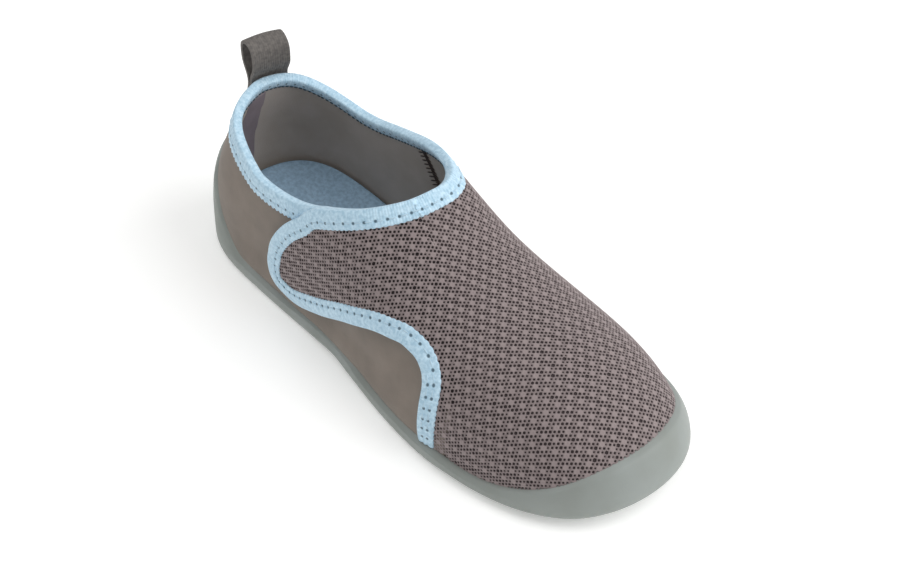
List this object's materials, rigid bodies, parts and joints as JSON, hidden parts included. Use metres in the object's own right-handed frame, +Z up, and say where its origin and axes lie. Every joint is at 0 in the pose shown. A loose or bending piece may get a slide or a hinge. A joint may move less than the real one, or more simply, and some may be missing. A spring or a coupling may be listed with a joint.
{
  "type": "children's water shoe",
  "caption": "Low closed shoe for wading, with a moulded rubber cup sole, a mesh vamp, a closing side flap edged in elastic tape, and a webbing pull loop at the heel.",
  "frame": {"origin": "on the floor, under the middle of the shoe's bounding box", "axes": "+X from heel to toe, +Y to the inner (medial) side of the foot, +Z up from the floor"},
  "size_m": [0.191, 0.0765, 0.0683],
  "materials": {
    "upper": "matt stretch fabric at the back, open mesh over the toes",
    "flap": "open knitted mesh",
    "edge_binding": "light blue elastic tape, sewn",
    "pull_loop": "ribbed webbing",
    "insole": "cloth-covered foam",
    "outsole": "matt moulded rubber"
  },
  "bodies": {
    "root": {"upper": "upper", "flap": "flap", "edge_binding": "edge_binding", "pull_loop": "pull_loop", "insole": "insole", "outsole": "outsole"}
  },
  "joints": []
}
